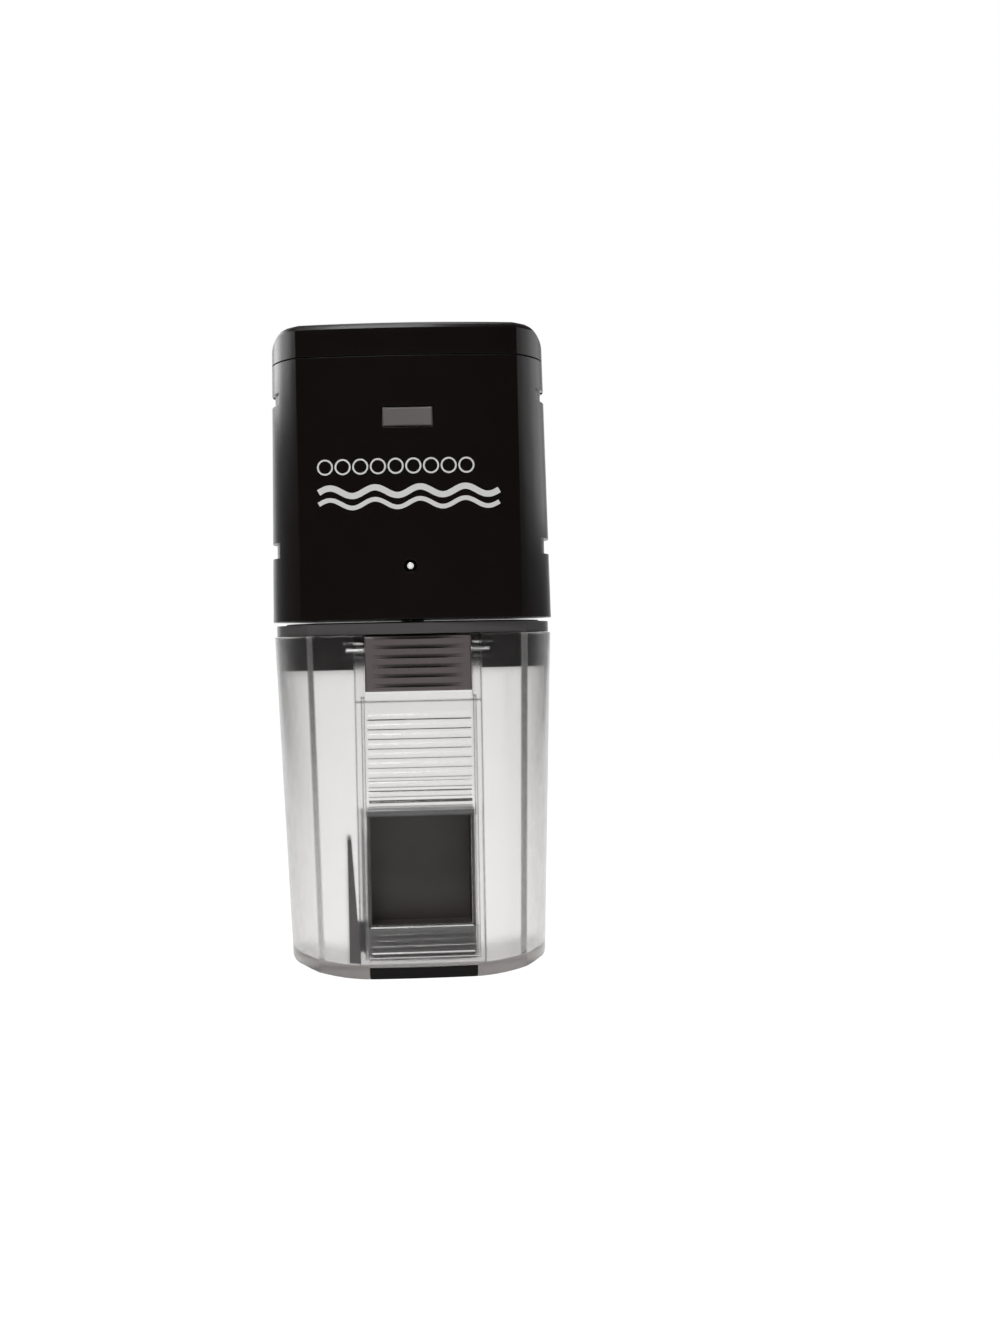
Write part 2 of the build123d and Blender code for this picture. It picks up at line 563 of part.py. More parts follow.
with BuildPart() as compound_axle:
    with BuildSketch(Plane.XY.offset(FLOOR_Z + 0.6)):
        with Locations((TRAIN_X, TRAIN_Y)):
            Circle(AXLE_R)
    extrude(amount=GEARBOX_TOP_Z + COVER_T - FLOOR_Z - 0.6)
compound_axle.part.label = "compound_axle"

with BuildPart() as output_gear:
    with BuildSketch(Plane.XY.offset(OUTPUT_GEAR_Z0)):
        add(gear_outline(WHEEL_TEETH, TRAIN_ANGLE - DRUM_TURN))
        Circle(SHAFT_R, mode=Mode.SUBTRACT)
    extrude(amount=OUTPUT_GEAR_Z1 - OUTPUT_GEAR_Z0)
output_gear.part.label = "output_gear"

with BuildPart() as output_shaft:
    with BuildSketch(Plane.XY.offset(SHAFT_FOOT_Z)):
        Circle(SHAFT_R)
    extrude(amount=OUTPUT_GEAR_Z1 + 0.4 - SHAFT_FOOT_Z)
    # Flat that drives the coupling, and the thread for its screw
    with BuildSketch(Plane.XY.offset(SHAFT_FOOT_Z)):
        with Locations((0, -SHAFT_R)):
            Rectangle(2 * SHAFT_R, 1.2)
    extrude(amount=DRUM_RIM_Z - SHAFT_FOOT_Z, mode=Mode.SUBTRACT)
    with BuildSketch(Plane.XY.offset(SHAFT_FOOT_Z)):
        Circle(1.25)
    extrude(amount=8, mode=Mode.SUBTRACT)
output_shaft.part.label = "output_shaft"

with BuildPart() as shaft_bush:
    with BuildSketch(Plane.XY.offset(FLOOR_Z - 0.6)):
        Circle(BUSH_R)
        Circle(SHAFT_R + RUNNING, mode=Mode.SUBTRACT)
    extrude(amount=2.7)
shaft_bush.part.label = "shaft_bush"

with BuildPart() as shaft_seal:
    with BuildSketch(Plane.XY.offset(HOUSING_FOOT_Z + 0.1)):
        Circle(BUSH_R)
        Circle(SHAFT_R + RUNNING, mode=Mode.SUBTRACT)
    extrude(amount=1.6)
shaft_seal.part.label = "shaft_seal"

# ---------------------------------------------------------------- food drum

# Plane of the drafted front face: second axis up the face, normal outwards
DRAFT = DRUM_RIM["crease_y"] - DRUM_BASE["crease_y"]
FRONT_FOOT_Y = -(DRUM_BASE["crease_y"] + BOW)
FRONT = Plane(origin=(0, FRONT_FOOT_Y, 0), x_dir=(1, 0, 0), z_dir=(0, -DRUM_RIM_Z, -DRAFT))
# Planes that go with it: across the drum (first axis outwards), and across the face's slope
SIDE_VIEW = Plane(origin=FRONT.origin, x_dir=FRONT.z_dir, z_dir=(-1, 0, 0))
ACROSS = Plane(origin=FRONT.origin, x_dir=(1, 0, 0), z_dir=FRONT.y_dir)


def front_bar(half, low, high, depth0, depth1, shift=0.0):
    """Box on the front face: half width, low and high along it, from one depth to another."""
    with BuildPart() as bar:
        with BuildSketch(FRONT.offset(-depth1)):
            with Locations((shift, (low + high) / 2)):
                Rectangle(2 * half, high - low)
        extrude(amount=depth1 - depth0)
    return bar.part


def drum_block(inset, floor):
    """Drum solid moved in by inset, its underside curving up from a flat middle band."""
    half = DRUM_RIM["side"] + 2 - inset
    rise_x = DRUM_BASE["side"] - inset - BASE_CORNER + 0.4
    rise_z = floor + BASE_ARC_R - sqrt(BASE_ARC_R**2 - (rise_x - FLAT_HALF) ** 2)
    corner = (rise_x + 1.9, rise_z + 0.75)
    edge = (rise_x + 2.75, rise_z + BASE_CORNER)
    with BuildPart() as block:
        add(tapered(drum_section, 0, DRUM_RIM_Z + (2 if inset else 0), inset))
        with BuildSketch(FRONT_VIEW.offset(-50)):
            with BuildLine():
                for side in (-1, 1):
                    Line((0, floor), (side * FLAT_HALF, floor))
                    ThreePointArc(
                        (side * FLAT_HALF, floor),
                        arc_point(side, (FLAT_HALF + rise_x) / 2, floor),
                        (side * rise_x, rise_z),
                    )
                    ThreePointArc(
                        (side * rise_x, rise_z),
                        (side * corner[0], corner[1]),
                        (side * edge[0], edge[1]),
                    )
                    Line((side * edge[0], edge[1]), (side * half, 90))
                Line((-half, 90), (half, 90))
            make_face()
        extrude(amount=100, mode=Mode.INTERSECT)
    return block.part


def arc_point(side, x, floor):
    """Point of the base arc at a distance from the middle."""
    return (side * x, floor + BASE_ARC_R - sqrt(BASE_ARC_R**2 - (x - FLAT_HALF) ** 2))


with BuildPart() as hopper_hollow:
    add(drum_block(DRUM_WALL, DRUM_FLOOR))
    channel_out = CHANNEL_HALF + CHANNEL_WALL
    add(front_bar(channel_out, -5, 95, -5, CHANNEL_DEPTH + CHANNEL_BACK), mode=Mode.SUBTRACT)
    add(front_bar(channel_out, 67.6, 95, -5, LATCH_BACK), mode=Mode.SUBTRACT)

with BuildPart() as hopper_shell:
    add(drum_block(0, 0))
    add(hopper_hollow.part, mode=Mode.SUBTRACT)
    # Lugs beside the latch
    for side in (-1, 1):
        middle = side * (LUG_X0 + LUG_X1) / 2
        add(front_bar((LUG_X1 - LUG_X0) / 2, LUG_LOW, LUG_HIGH, LUG_DEPTH, 3.3, middle))
    # Channel, deeper behind the latch, with grooves in its walls for the two slides
    add(front_bar(CHANNEL_HALF, CROSS_BAR_HIGH, 95, -5, CHANNEL_DEPTH), mode=Mode.SUBTRACT)
    add(front_bar(CHANNEL_HALF, 69.4, 95, -5, LATCH_SEAT), mode=Mode.SUBTRACT)
    add(front_bar(GROOVE_HALF, CROSS_BAR_HIGH, 69, GROOVE_DEPTH0, GROOVE_DEPTH1), mode=Mode.SUBTRACT)
    add(front_bar(OUTLET_HALF, OUTLET_LOW, OUTLET_HIGH, 0, 10), mode=Mode.SUBTRACT)
    # Window for the latch's hook, and the notch for the foot
    add(front_bar(HOOK_HALF + 0.4, HOOK_LOW - 2.2, HOOK_HIGH + 0.4, 0, 10), mode=Mode.SUBTRACT)
    add(front_bar(CHANNEL_HALF, -5, FOOT_HIGH, -5, FOOT_DEPTH), mode=Mode.SUBTRACT)
    # Blind seats of the latch pin
    with BuildSketch(SIDE_VIEW.offset(-PIN_HALF - 0.1)):
        with Locations((-PIVOT_DEPTH, LATCH_PIVOT)):
            Circle(PIVOT_R + 0.01)
    extrude(amount=2 * PIN_HALF + 0.2, mode=Mode.SUBTRACT)
hopper_shell.part.label = "hopper_shell"

with BuildPart() as base_foot:
    add(drum_block(0, 0))
    add(front_bar(CHANNEL_HALF - 0.1, -5, FOOT_HIGH - 0.1, -5, FOOT_DEPTH - 0.1), mode=Mode.INTERSECT)
base_foot.part.label = "base_foot"

with BuildPart() as dosing_scoop:
    # Chamber behind the outlet over a skirt down to the cross bar, open in front
    chamber_half, chamber_back = OUTLET_HALF + SCOOP_WALL, SCOOP_BACK - SCOOP_WALL
    add(front_bar(chamber_half, SKIRT_LOW, OUTLET_HIGH + SCOOP_WALL, SCOOP_FACE, SCOOP_BACK))
    add(front_bar(OUTLET_HALF, OUTLET_LOW, OUTLET_HIGH, 0, chamber_back), mode=Mode.SUBTRACT)
    add(
        front_bar(OUTLET_HALF, -5, OUTLET_LOW - SCOOP_WALL, SCOOP_FACE + SCOOP_WALL, chamber_back),
        mode=Mode.SUBTRACT,
    )
    # Window in its left wall, where the food enters
    add(front_bar(1.5, 16, 36, 7.4, chamber_back, -OUTLET_HALF - 0.5), mode=Mode.SUBTRACT)
    # Catching fin, wider at its foot, on a web from the skirt's back
    with BuildSketch(FRONT.offset(-SCOOP_BACK)):
        with BuildLine():
            Polyline((FIN_X, 2), (-15.1, 2), (-17.0, FIN_HIGH), (FIN_X, FIN_HIGH), close=True)
        make_face()
    extrude(amount=SCOOP_BACK)
    add(front_bar(3.0, SKIRT_LOW, OUTLET_LOW, chamber_back, SCOOP_BACK, FIN_X + 3.0))
    add(drum_block(DRUM_WALL + SCOOP_PLAY, DRUM_FLOOR + SCOOP_PLAY), mode=Mode.INTERSECT)
dosing_scoop.part.label = "dosing_scoop"


def ribs(half, low, count, pitch, depth_back, depth_front):
    """Rounded ribs across the channel, one above another from low."""
    with BuildPart() as rib_set:
        with BuildSketch(SIDE_VIEW.offset(-half)):
            for rib in range(count):
                u = low + (rib + 0.5) * pitch
                rise = 0.36 * pitch
                with BuildLine():
                    ThreePointArc((-depth_back, u - rise), (-depth_front, u), (-depth_back, u + rise))
                    Line((-depth_back, u + rise), (-depth_back, u - rise))
                make_face()
        extrude(amount=2 * half)
    return rib_set.part


def slide_plate(low, high):
    """Plate of a slide with its two guided edges."""
    with BuildPart() as plate:
        add(front_bar(SLIDE_EDGE_HALF, low, high, SLIDE_DEPTH0, SLIDE_DEPTH1))
        add(front_bar(SLIDE_HALF, low, high, SLIDE_FACE, SLIDE_DEPTH0))
    return plate.part


with BuildPart() as portion_slide:
    add(slide_plate(PORTION_LOW, PORTION_HIGH))
    add(front_bar(SLIDE_HALF, PORTION_LOW, PORTION_LOW + 1.5, RIB_FACE, SLIDE_FACE))
    add(ribs(SLIDE_HALF - 0.4, PORTION_LOW + 2.0, PORTION_RIBS, RIB_PITCH, SLIDE_FACE, RIB_FACE))
    band_low = PORTION_LOW + 2.3 + PORTION_RIBS * RIB_PITCH
    add(front_bar(SLIDE_HALF, band_low, PORTION_HIGH, RIB_FACE, SLIDE_FACE))
portion_slide.part.label = "portion_slide"

with BuildPart() as outlet_slide:
    add(slide_plate(GRIP_LOW, GRIP_HIGH))
    add(ribs(SLIDE_HALF - 0.4, GRIP_LOW, GRIP_RIBS, GRIP_RIB_PITCH, SLIDE_FACE, RIB_FACE))
    add(front_bar(SLIDE_HALF, GRIP_HIGH - 1.0, GRIP_HIGH, RIB_FACE, SLIDE_FACE))
outlet_slide.part.label = "outlet_slide"

with BuildPart() as drum_latch:
    add(front_bar(SLIDE_HALF, LATCH_LOW, LATCH_HIGH, LATCH_DEPTH0, LATCH_DEPTH1))
    chamfer(drum_latch.faces().sort_by(Axis.Y)[0].edges(), length=0.35)
    chamfer(drum_latch.faces().sort_by(Axis.Y)[-1].edges().sort_by(Axis.Z)[-1], length=0.8)
    # Finger grooves, bitten deepest in the middle
    lens_r = (LENS_HALF**2 + LENS_BITE**2) / (2 * LENS_BITE)
    for groove in range(LENS_COUNT):
        u = LATCH_LOW + LENS_LOW + groove * RIB_PITCH
        with BuildSketch(ACROSS.offset(u - LENS_T / 2)):
            with Locations((0, LATCH_DEPTH0 + LENS_BITE - lens_r)):
                Circle(lens_r)
        extrude(amount=LENS_T, mode=Mode.SUBTRACT)
    # Hook under the coupling's lug, and the pin hole
    add(front_bar(HOOK_HALF, HOOK_LOW, HOOK_HIGH, LATCH_DEPTH1 - 0.1, HOOK_DEPTH))
    with BuildSketch(SIDE_VIEW.offset(-50)):
        with Locations((-PIVOT_DEPTH, LATCH_PIVOT)):
            Circle(PIVOT_R + RUNNING)
    extrude(amount=100, mode=Mode.SUBTRACT)
drum_latch.part.label = "drum_latch"

with BuildPart() as latch_pin:
    with BuildSketch(SIDE_VIEW.offset(-PIN_HALF)):
        with Locations((-PIVOT_DEPTH, LATCH_PIVOT)):
            Circle(PIVOT_R)
    extrude(amount=2 * PIN_HALF)
latch_pin.part.label = "latch_pin"

with BuildPart() as drum_coupling:
    neck_inset = COLLAR_INSET + COLLAR_WALL + NECK_GAP
    add(tapered(drum_section, COUPLING_LOW, COUPLING_HIGH, DRUM_WALL + 0.6))
    add(tapered(drum_section, COUPLING_LOW - 1, COUPLING_PLATE, DRUM_WALL + 2.4), mode=Mode.SUBTRACT)
    # Neck inside the collar, cleared in front for the latch, and the hub
    with BuildSketch(Plane.XY.offset(COUPLING_PLATE + 1)):
        add(outline(DRUM_RIM, neck_inset))
        add(outline(DRUM_RIM, neck_inset + NECK_WALL), mode=Mode.SUBTRACT)
    extrude(amount=COLLAR_HIGH + NECK_RISE - COUPLING_PLATE - 1)
    add(
        front_bar(channel_out + 0.35, 60, COLLAR_LOW + 0.2, -5, LATCH_BACK + 0.35),
        mode=Mode.SUBTRACT,
    )
    # Lug that the latch's hook holds
    add(front_bar(HOOK_HALF - 0.2, HOOK_HIGH + 0.2, COUPLING_HIGH - 1, LATCH_BACK + 0.35, LATCH_BACK + 2.6))
    with BuildSketch(Plane.XY.offset(HUB_LOW)):
        Circle(HUB_R)
    extrude(amount=COUPLING_HIGH - HUB_LOW)
    # D-shaped bore, screw hole and magnet pocket
    with BuildSketch(Plane.XY.offset(SHAFT_FOOT_Z)):
        Circle(SHAFT_R + 0.03)
        with Locations((0, -SHAFT_R)):
            Rectangle(2.2 * SHAFT_R, 1.14, mode=Mode.SUBTRACT)
    extrude(amount=20, mode=Mode.SUBTRACT)
    with BuildSketch(Plane.XY.offset(HUB_LOW)):
        Circle(1.4)
    extrude(amount=10, mode=Mode.SUBTRACT)
    with BuildSketch(Plane.XY.offset(COUPLING_HIGH)):
        with Locations((MAGNET_X, 0)):
            Circle(MAGNET_R + 0.03)
    extrude(amount=-MAGNET_T, mode=Mode.SUBTRACT)
drum_coupling.part.label = "drum_coupling"

with BuildPart() as home_magnet:
    with BuildSketch(Plane.XY.offset(COUPLING_HIGH)):
        with Locations((MAGNET_X, 0)):
            Circle(MAGNET_R)
    extrude(amount=-MAGNET_T)
home_magnet.part.label = "home_magnet"

with BuildPart() as coupling_screw:
    add(cross_screws([(0, 0)], HUB_LOW, 2.4, 1.5, 1.2, 9.0))
coupling_screw.part.label = "coupling_screw"

with BuildPart() as drum_collar:
    with BuildSketch(Plane.XY.offset(COLLAR_LOW)):
        add(outline(DRUM_RIM, COLLAR_INSET))
        add(outline(DRUM_RIM, COLLAR_INSET + COLLAR_WALL), mode=Mode.SUBTRACT)
    extrude(amount=COLLAR_HIGH - COLLAR_LOW)
drum_collar.part.label = "drum_collar"

os.makedirs("parts", exist_ok=True)
HOUSING_PIECES = (
    housing_shell, top_lid, lid_gasket, lid_screws, feed_button, button_switch, control_board,
    board_screws, wireless_module, status_led, position_sensor, dc_inlet, inlet_nut,
    bracket_inserts, gearbox_base, gearbox_cover, gearbox_screws, motor_can, motor_end_cap,
    motor_shaft, motor_pinion, compound_gear, compound_axle, shaft_bush, shaft_seal,
)
DRUM_PIECES = (
    output_gear, output_shaft, drum_coupling, home_magnet, coupling_screw, drum_collar,
    hopper_shell, base_foot, dosing_scoop, drum_latch, latch_pin, portion_slide, outlet_slide,
)
for piece in HOUSING_PIECES:
    export_step(piece.part, f"parts/{piece.part.label}.step")
for piece in DRUM_PIECES:
    export_step(piece.part.rotate(Axis.Z, DRUM_TURN), f"parts/{piece.part.label}.step")
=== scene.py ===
"""Looks of the automatic fish feeder: camera, soft light, materials and the print on its front."""

import json
import math

import bmesh
import bpy
from mathutils import Matrix, Vector
from mathutils.bvhtree import BVHTree


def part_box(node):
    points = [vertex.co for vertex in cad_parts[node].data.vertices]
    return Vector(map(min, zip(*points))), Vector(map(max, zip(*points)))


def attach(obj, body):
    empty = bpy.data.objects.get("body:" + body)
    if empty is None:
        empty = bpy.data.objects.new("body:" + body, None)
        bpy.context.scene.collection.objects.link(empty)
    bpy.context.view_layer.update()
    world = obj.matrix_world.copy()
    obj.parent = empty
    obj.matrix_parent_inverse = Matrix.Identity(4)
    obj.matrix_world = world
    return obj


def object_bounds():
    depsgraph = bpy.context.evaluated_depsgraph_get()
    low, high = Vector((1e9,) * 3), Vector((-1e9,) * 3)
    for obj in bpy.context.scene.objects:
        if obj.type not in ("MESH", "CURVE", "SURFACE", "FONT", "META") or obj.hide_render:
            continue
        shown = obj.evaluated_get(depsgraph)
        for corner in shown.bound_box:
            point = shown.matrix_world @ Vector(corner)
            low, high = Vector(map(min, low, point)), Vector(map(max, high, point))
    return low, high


MM = 0.001

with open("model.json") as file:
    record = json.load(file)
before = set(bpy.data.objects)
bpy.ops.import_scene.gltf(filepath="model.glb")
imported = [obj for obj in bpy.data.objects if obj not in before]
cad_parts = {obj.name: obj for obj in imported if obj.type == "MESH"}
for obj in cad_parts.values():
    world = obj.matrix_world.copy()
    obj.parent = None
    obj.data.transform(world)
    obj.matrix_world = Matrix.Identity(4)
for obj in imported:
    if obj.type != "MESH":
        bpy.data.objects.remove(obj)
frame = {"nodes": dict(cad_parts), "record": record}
nodes = frame["nodes"]
cad_low, cad_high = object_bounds()

# ------------------------------------------------------------------ camera

CAMERA_AHEAD = 602.5 * MM  # from the front face
CAMERA_RIGHT = 5.8 * MM
CAMERA_HEIGHT = 78.7 * MM
CAMERA_YAW, CAMERA_PITCH, CAMERA_ROLL = (math.radians(a) for a in (1.468, -0.132, -1.206))
CAMERA_LENS, CAMERA_SENSOR = 67.7, 36.0
CAMERA_REACH = (0.01, 50.0)


def make_camera():
    """Camera ahead of the front face at about half height, level, a little rolled."""
    camera = bpy.data.objects.new("camera", bpy.data.cameras.new("camera"))
    bpy.context.scene.collection.objects.link(camera)
    camera.data.sensor_width = CAMERA_SENSOR
    camera.data.lens = CAMERA_LENS
    camera.data.clip_start, camera.data.clip_end = CAMERA_REACH
    level = math.cos(CAMERA_PITCH)
    ahead = Vector((
        math.sin(CAMERA_YAW) * level,
        math.cos(CAMERA_YAW) * level,
        math.sin(CAMERA_PITCH),
    ))
    right = Vector((math.cos(CAMERA_YAW), -math.sin(CAMERA_YAW), 0.0))
    up = right.cross(ahead)
    rolled_right = right * math.cos(CAMERA_ROLL) + up * math.sin(CAMERA_ROLL)
    rolled_up = up * math.cos(CAMERA_ROLL) - right * math.sin(CAMERA_ROLL)
    turn = Matrix((rolled_right, rolled_up, -ahead)).transposed().to_4x4()
    place = Vector((CAMERA_RIGHT, cad_low.y - CAMERA_AHEAD, CAMERA_HEIGHT))
    camera.matrix_world = Matrix.Translation(place) @ turn
    bpy.context.scene.camera = camera


make_camera()

# ------------------------------------------------------------------ studio


def area_light(name, place, target, width, height, watts):
    """Soft rectangular lamp that the camera doesn't see."""
    lamp = bpy.data.lights.new(name, "AREA")
    lamp.shape, lamp.size, lamp.size_y, lamp.energy = "RECTANGLE", width, height, watts
    holder = bpy.data.objects.new(name, lamp)
    bpy.context.scene.collection.objects.link(holder)
    holder.location = place
    holder.rotation_mode = "QUATERNION"
    holder.rotation_quaternion = (Vector(target) - Vector(place)).to_track_quat("-Z", "Y")
    holder.visible_camera = False


WORLD_SWING = math.radians(-5)  # the bright backdrop lies a little to one side

# Brightness of the surround from the viewer's side, at 0, to straight behind the feeder, at 1
WORLD_LEVELS = ((0.0, 0.02), (0.3, 0.02), (0.55, 0.055), (0.85, 0.085), (0.95, 0.22), (0.985, 1.0))


def make_world():
    """White surround, dark on the viewer's side so that the black front stays black."""
    world = bpy.data.worlds.new("studio")
    bpy.context.scene.world = world
    world.use_nodes = True
    tree = world.node_tree
    tree.nodes.clear()
    coords = tree.nodes.new("ShaderNodeTexCoord")
    swing = tree.nodes.new("ShaderNodeMapping")
    swing.inputs["Rotation"].default_value = (0, 0, WORLD_SWING)
    split = tree.nodes.new("ShaderNodeSeparateXYZ")
    share = tree.nodes.new("ShaderNodeMapRange")
    share.inputs["From Min"].default_value = -1.0
    ramp = tree.nodes.new("ShaderNodeValToRGB")
    for place, level in WORLD_LEVELS[1:-1]:
        ramp.color_ramp.elements.new(place)
    for element, (place, level) in zip(ramp.color_ramp.elements, WORLD_LEVELS):
        element.position = place
        element.color = (level, level, level, 1.0)
    path = tree.nodes.new("ShaderNodeLightPath")
    pick = tree.nodes.new("ShaderNodeMix")
    pick.data_type = "RGBA"
    background = tree.nodes.new("ShaderNodeBackground")
    output = tree.nodes.new("ShaderNodeOutputWorld")
    tree.links.new(coords.outputs["Generated"], swing.inputs["Vector"])
    tree.links.new(swing.outputs[0], split.inputs[0])
    tree.links.new(split.outputs["Y"], share.inputs["Value"])
    tree.links.new(share.outputs[0], ramp.inputs[0])
    tree.links.new(ramp.outputs["Color"], pick.inputs[6])
    pick.inputs[7].default_value = (1, 1, 1, 1)
    tree.links.new(path.outputs["Is Camera Ray"], pick.inputs[0])
    tree.links.new(pick.outputs[2], background.inputs["Color"])
    tree.links.new(background.outputs[0], output.inputs["Surface"])


FLOOR_NEAR, FLOOR_FAR = (0.25, -0.37), (4.2, 12.0)  # half width and distance of its two ends
FLOOR_DROP = 0.1 * MM
FLOOR_SHADE = (0.13, 0.15)
FLOOR_GLOW = 0.99


def make_floor():
    """Pale floor that widens as it runs out behind, too narrow to mirror in the sides or the front."""
    mesh = bpy.data.meshes.new("floor")
    near, far = FLOOR_NEAR, FLOOR_FAR
    corners = [(-near[0], near[1], 0), (near[0], near[1], 0), (far[0], far[1], 0), (-far[0], far[1], 0)]
    mesh.from_pydata(corners, [], [(0, 1, 2, 3)])
    floor = bpy.data.objects.new("floor", mesh)
    bpy.context.scene.collection.objects.link(floor)
    floor.location.z = -FLOOR_DROP
    mat, tree, shader = new_material("floor_white")
    noise = texture(tree, "ShaderNodeTexNoise", Scale=3.0)
    tint = tree.nodes.new("ShaderNodeMapRange")
    tint.inputs["To Min"].default_value, tint.inputs["To Max"].default_value = FLOOR_SHADE
    tree.links.new(noise.outputs["Fac"], tint.inputs["Value"])
    tree.links.new(tint.outputs[0], shader.inputs["Base Color"])
    shader.inputs["Roughness"].default_value = 0.9
    shader.inputs["Specular IOR Level"].default_value = 0.1
    shader.inputs["Emission Color"].default_value = (1, 1, 1, 1)
    shader.inputs["Emission Strength"].default_value = FLOOR_GLOW
    floor.data.materials.append(mat)


# ------------------------------------------------------------------ materials


def new_material(name):
    """Material with a principled shader: the material, its tree and the shader."""
    mat = bpy.data.materials.new(name)
    mat.use_nodes = True
    return mat, mat.node_tree, mat.node_tree.nodes["Principled BSDF"]


def texture(tree, kind, stretch=(1, 1, 1), **settings):
    """Procedural texture in the part's own space, stretched along its axes."""
    coords = tree.nodes.new("ShaderNodeTexCoord")
    mapping = tree.nodes.new("ShaderNodeMapping")
    mapping.inputs["Scale"].default_value = stretch
    tex = tree.nodes.new(kind)
    for key, value in settings.items():
        tex.inputs[key].default_value = value
    tree.links.new(coords.outputs["Object"], mapping.inputs["Vector"])
    tree.links.new(mapping.outputs[0], tex.inputs["Vector"])
    return tex


def spread_colour(tree, shader, colour, spread, scale, stretch=(1, 1, 1)):
    """Base colour that drifts by a share of itself."""
    noise = texture(tree, "ShaderNodeTexNoise", stretch, Scale=scale, Detail=4.0)
    mix = tree.nodes.new("ShaderNodeMix")
    mix.data_type = "RGBA"
    mix.inputs[6].default_value = [c * (1 - spread) for c in colour] + [1]
    mix.inputs[7].default_value = [min(1.0, c * (1 + spread)) for c in colour] + [1]
    tree.links.new(noise.outputs["Fac"], mix.inputs[0])
    tree.links.new(mix.outputs[2], shader.inputs["Base Color"])


def spread_roughness(tree, shader, low, high, scale, stretch=(1, 1, 1)):
    """Roughness that drifts between two values."""
    noise = texture(tree, "ShaderNodeTexNoise", stretch, Scale=scale, Detail=5.0)
    level = tree.nodes.new("ShaderNodeMapRange")
    level.inputs["From Min"].default_value, level.inputs["From Max"].default_value = 0.3, 0.7
    level.inputs["To Min"].default_value, level.inputs["To Max"].default_value = low, high
    tree.links.new(noise.outputs["Fac"], level.inputs["Value"])
    tree.links.new(level.outputs[0], shader.inputs["Roughness"])


def bump(tree, shader, scale, height, strength=0.5, stretch=(1, 1, 1), edge=0.0):
    """Fine relief: noise cells a 1/scale metre apart, height in metres, over edges softened by a radius."""
    noise = texture(tree, "ShaderNodeTexNoise", stretch, Scale=scale, Detail=3.0)
    relief = tree.nodes.new("ShaderNodeBump")
    relief.inputs["Strength"].default_value = strength
    relief.inputs["Distance"].default_value = height
    tree.links.new(noise.outputs["Fac"], relief.inputs["Height"])
    if edge:
        soft = tree.nodes.new("ShaderNodeBevel")
        soft.samples = 4
        soft.inputs["Radius"].default_value = edge
        tree.links.new(soft.outputs[0], relief.inputs["Normal"])
    tree.links.new(relief.outputs[0], shader.inputs["Normal"])


def plastic(
    name, colour, rough=(0.3, 0.4), grain=2600.0, height=0.02 * MM, spread=0.12, edge=0.0, gloss=0.5
):
    """Opaque moulded plastic with a fine grain and faint flow marks."""
    mat, tree, shader = new_material(name)
    spread_colour(tree, shader, colour, spread, 60.0, (1, 1, 0.35))
    spread_roughness(tree, shader, *rough, 140.0)
    shader.inputs["Specular IOR Level"].default_value = gloss
    bump(tree, shader, grain, height, edge=edge)
    return mat


def metal(name, colour, rough=(0.22, 0.4), stretch=(1, 1, 12), height=0.004 * MM):
    """Metal with fine tool marks across one axis."""
    mat, tree, shader = new_material(name)
    shader.inputs["Metallic"].default_value = 1.0
    spread_colour(tree, shader, colour, 0.08, 300.0, stretch)
    spread_roughness(tree, shader, *rough, 900.0, stretch)
    bump(tree, shader, 1800.0, height, 0.4, stretch)
    return mat


PLASTIC_IOR = 1.46
HAZE_COLOUR = (0.08, 0.02, 0.0, 1.0)


def clear(name, tint, rough, grain=1500.0, height=0.01 * MM, share=1.0, haze=0.0, edge=0.0):
    """See-through plastic: tinted, with a share of light let through and a haze per metre of path."""
    mat, tree, shader = new_material(name)
    spread_colour(tree, shader, tint, 0.02, 45.0, (1, 1, 0.3))
    spread_roughness(tree, shader, *rough, 220.0)
    bump(tree, shader, grain, height, 0.3, edge=edge)
    shader.inputs["Transmission Weight"].default_value = share
    shader.inputs["IOR"].default_value = PLASTIC_IOR
    if haze:
        absorb = tree.nodes.new("ShaderNodeVolumeAbsorption")
        absorb.inputs["Color"].default_value = HAZE_COLOUR
        absorb.inputs["Density"].default_value = haze
        tree.links.new(absorb.outputs[0], tree.nodes["Material Output"].inputs["Volume"])
    return mat


SOFT_EDGE = 0.25 * MM  # radius that a moulded edge is rounded to in the shading


def make_plastics():
    """Opaque plastics and rubber, by the record's slot names."""
    return {
        "housing_black": plastic(
            "satin_black_abs", (0.007, 0.0046, 0.0044), rough=(0.22, 0.26),
            height=0.006 * MM, edge=0.5 * SOFT_EDGE, gloss=0.38,
        ),
        "rubber_black": plastic(
            "gasket_rubber", (0.012, 0.012, 0.012), rough=(0.6, 0.75), grain=1200.0,
        ),
        "component_black": plastic("component_black", (0.015, 0.015, 0.016), rough=(0.4, 0.5)),
        "button_grey": plastic(
            "button_grey", (0.175, 0.157, 0.156), rough=(0.3, 0.4), grain=2200.0, edge=SOFT_EDGE,
        ),
        "board_green": plastic(
            "solder_mask", (0.02, 0.14, 0.06), rough=(0.2, 0.3), grain=900.0,
            height=0.008 * MM, spread=0.25,
        ),
        "acetal_white": plastic(
            "acetal", (0.72, 0.71, 0.66), rough=(0.35, 0.45), grain=1800.0,
            height=0.008 * MM, spread=0.04,
        ),
        "gearbox_grey": plastic("gearbox_grey", (0.1, 0.1, 0.105), rough=(0.4, 0.55)),
        "drum_black": plastic("drum_black", (0.038, 0.033, 0.033), rough=(0.32, 0.42), gloss=0.3),
        "latch_grey": plastic(
            "latch_grey", (0.135, 0.112, 0.114), rough=(0.26, 0.34), grain=2400.0,
            height=0.006 * MM, edge=0.4 * SOFT_EDGE,
        ),
        "scoop_grey": plastic(
            "scoop_grey", (0.064, 0.053, 0.053), rough=(0.42, 0.52), grain=2400.0,
            height=0.015 * MM,
        ),
    }


